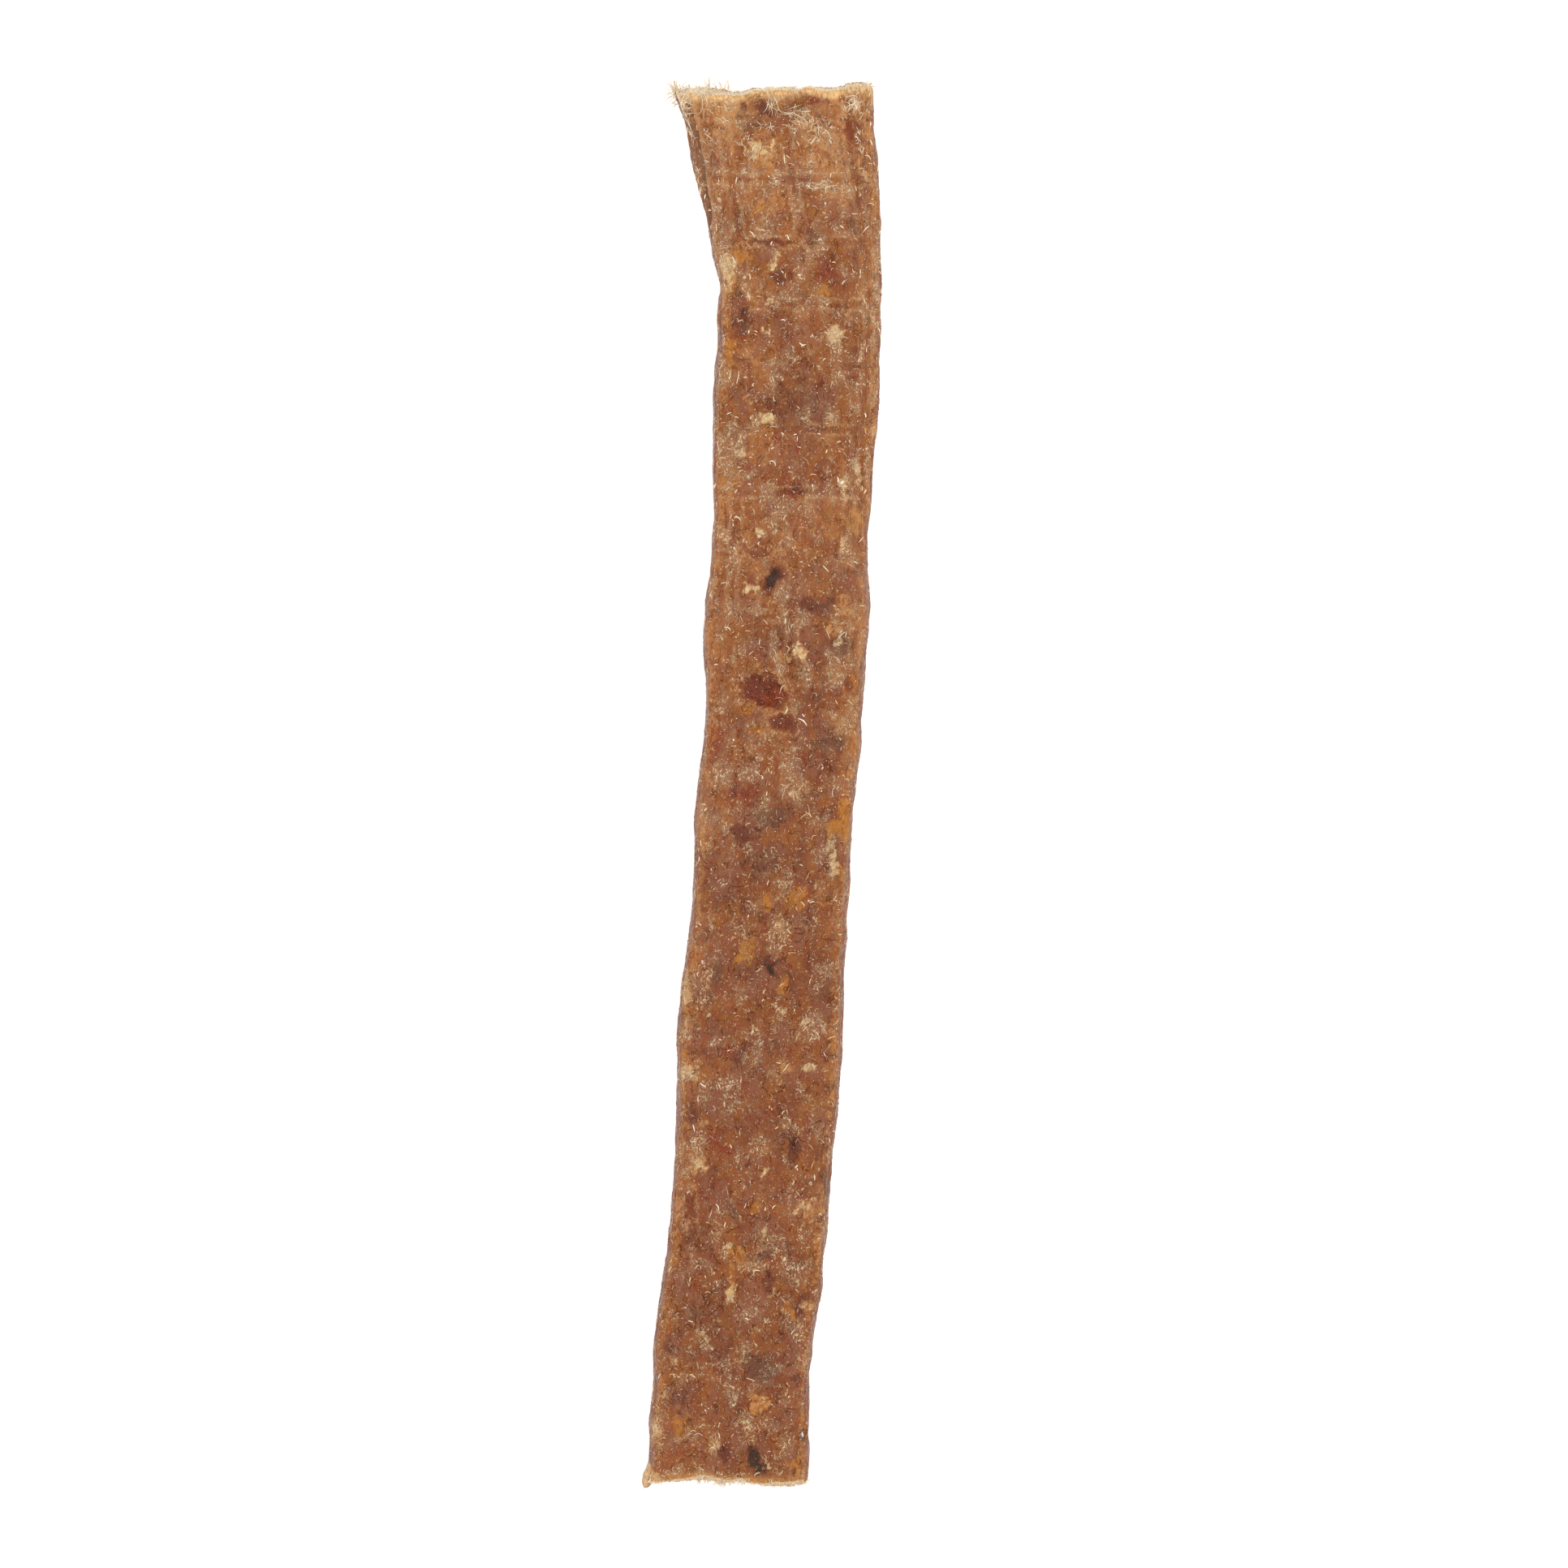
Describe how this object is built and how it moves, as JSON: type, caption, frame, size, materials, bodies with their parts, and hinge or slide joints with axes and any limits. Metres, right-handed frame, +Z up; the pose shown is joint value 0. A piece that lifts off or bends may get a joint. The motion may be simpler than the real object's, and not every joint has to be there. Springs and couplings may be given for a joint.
{
  "type": "dried chicken strip dog chew",
  "caption": "Long flat strip of pressed, dried minced chicken, a dog chew, flared and slightly curled at one end, with ragged cut ends.",
  "frame": {"origin": "centre of the bounding box in X and Y, at the lowest point of the underside", "axes": "+Y along the strip's length towards the flared end, +X to the right, +Z up out of the upper face"},
  "size_m": [0.034, 0.201, 0.0066],
  "materials": {
    "dried_meat": "dry mottled brown meat, slightly glossy, with pale fibres"
  },
  "bodies": {
    "root": {"meat_strip": "dried_meat"}
  },
  "joints": []
}
